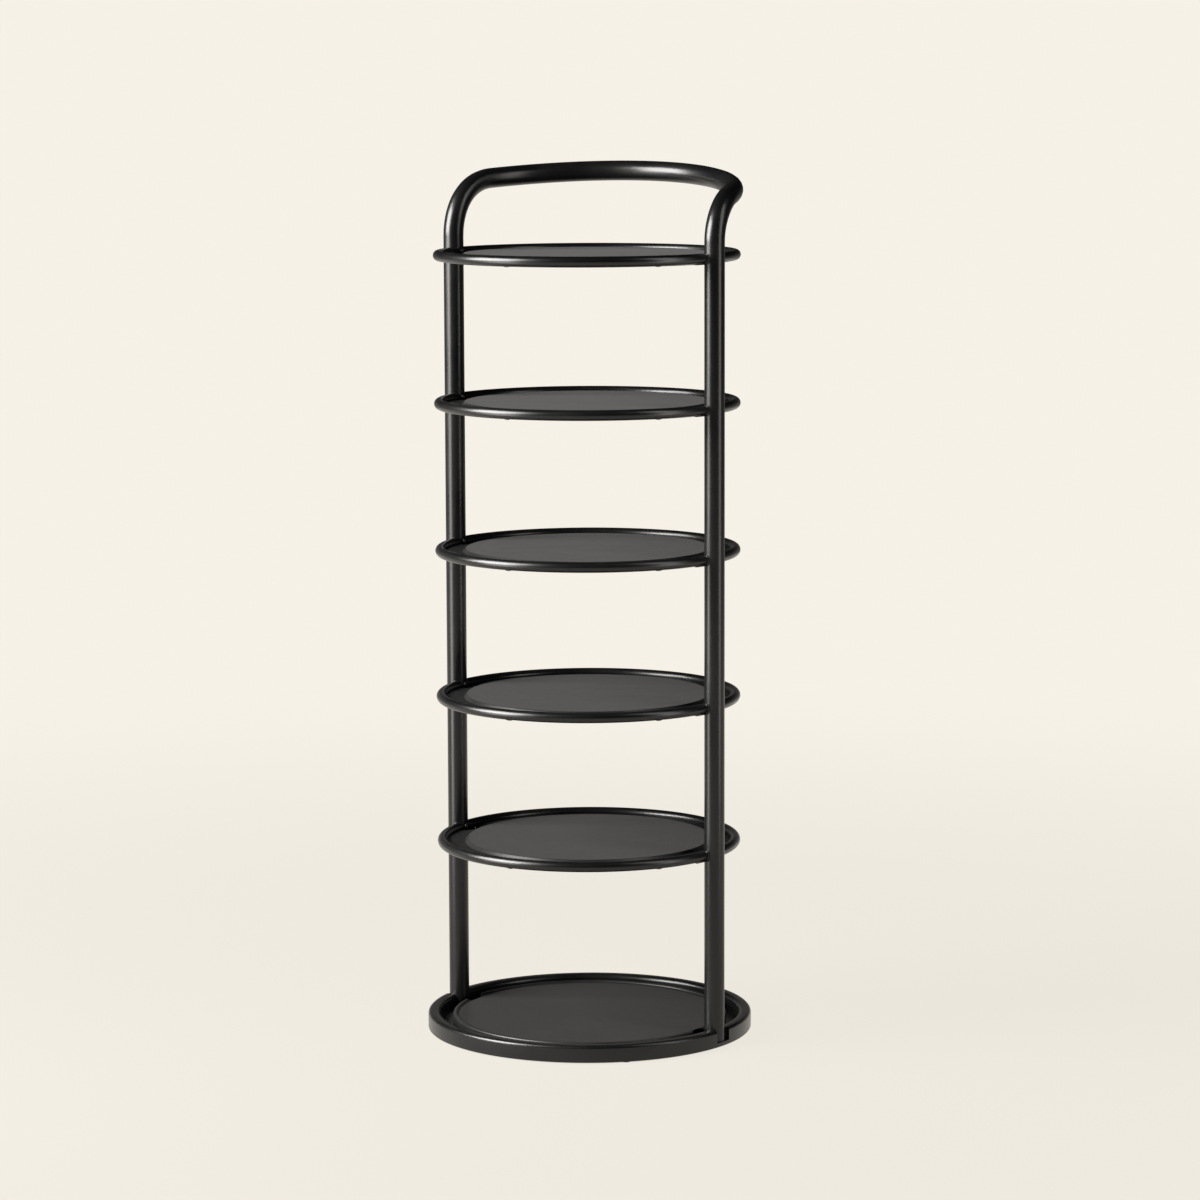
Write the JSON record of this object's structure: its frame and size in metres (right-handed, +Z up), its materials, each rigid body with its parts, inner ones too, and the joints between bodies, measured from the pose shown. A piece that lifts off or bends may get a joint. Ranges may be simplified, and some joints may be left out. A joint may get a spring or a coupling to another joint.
{
  "type": "round shoe rack",
  "caption": "Round open shoe rack: a bent tube frame with a looped handle carries hooped round shelves above a round base.",
  "frame": {"origin": "middle of the base, on the floor", "axes": "+Z up, the handle runs round the +Y side, and the uprights stand at -X and +X"},
  "size_m": [0.356, 0.356, 0.9467],
  "materials": {
    "frame_coat": "satin black powder coat",
    "plate_coat": "matt black powder coat",
    "fastener": "blackened steel",
    "insert": "black nylon",
    "glide": "black rubber"
  },
  "bodies": {
    "root": {"frame_tube": "frame_coat", "base_rim": "frame_coat", "base_plate": "plate_coat", "shelf_hoop_1": "frame_coat", "shelf_plate_1": "plate_coat", "hoop_screw_left_1": "fastener", "hoop_screw_right_1": "fastener", "shelf_hoop_2": "frame_coat", "shelf_plate_2": "plate_coat", "hoop_screw_left_2": "fastener", "hoop_screw_right_2": "fastener", "shelf_hoop_3": "frame_coat", "shelf_plate_3": "plate_coat", "hoop_screw_left_3": "fastener", "hoop_screw_right_3": "fastener", "shelf_hoop_4": "frame_coat", "shelf_plate_4": "plate_coat", "hoop_screw_left_4": "fastener", "hoop_screw_right_4": "fastener", "shelf_hoop_5": "frame_coat", "shelf_plate_5": "plate_coat", "hoop_screw_left_5": "fastener", "hoop_screw_right_5": "fastener", "foot_insert_left": "insert", "foot_bolt_left": "fastener", "foot_insert_right": "insert", "foot_bolt_right": "fastener", "glide_1": "glide", "glide_2": "glide", "glide_3": "glide", "glide_4": "glide"}
  },
  "joints": []
}
